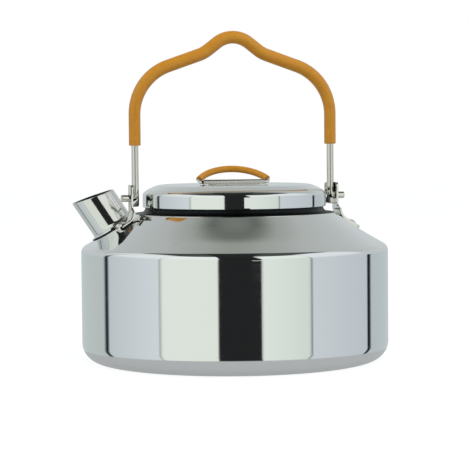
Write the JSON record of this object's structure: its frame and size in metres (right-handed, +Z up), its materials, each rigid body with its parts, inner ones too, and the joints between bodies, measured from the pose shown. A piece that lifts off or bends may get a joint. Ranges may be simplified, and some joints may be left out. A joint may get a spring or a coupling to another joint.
{
  "type": "camping kettle",
  "caption": "Squat steel camping kettle with a sloping shoulder, short leaning spout, lift-off lid with a folding ring, and a sleeved wire bail on riveted lugs.",
  "frame": {"origin": "centre of the flat base, on the surface that the kettle stands on", "axes": "+Z up along the kettle's axis; the spout points to -X; -Y is the side that the picture was taken from"},
  "size_m": [0.1416, 0.1376, 0.1474],
  "materials": {
    "polished_steel": "mirror-polished stainless steel sheet",
    "wire_steel": "plain drawn stainless steel wire",
    "lug_steel": "pressed stainless steel, satin",
    "sleeve": "orange-tan silicone tube, satin"
  },
  "bodies": {
    "kettle": {"body_cup": "polished_steel", "shoulder": "polished_steel", "spout": "polished_steel", "lug_right": "lug_steel", "lug_left": "lug_steel", "rivet_right_front": "lug_steel", "rivet_right_rear": "lug_steel", "rivet_left_front": "lug_steel", "rivet_left_rear": "lug_steel"},
    "bail": {"bail_wire": "wire_steel", "bail_sleeve": "sleeve"},
    "lid": {"lid_shell": "polished_steel", "lid_saddle": "lug_steel"},
    "lid_ring": {"lid_ring_wire": "wire_steel", "lid_ring_sleeve": "sleeve"}
  },
  "joints": [
    {"name": "bail_swing", "type": "hinge", "parent": "kettle", "child": "bail", "pos_m": [0, 0, 0.0733], "axis": [0.9703, 0.2419, 0], "range_deg": [-2, 102]},
    {"name": "lid_lift", "type": "slide", "parent": "kettle", "child": "lid", "axis": [0, 0, 1], "range_m": [0, 0.034]},
    {"name": "lid_ring_fold", "type": "hinge", "parent": "lid", "child": "lid_ring", "pos_m": [0, 0, 0.0799], "axis": [0.9903, 0.1392, 0], "range_deg": [-18, 139]}
  ]
}
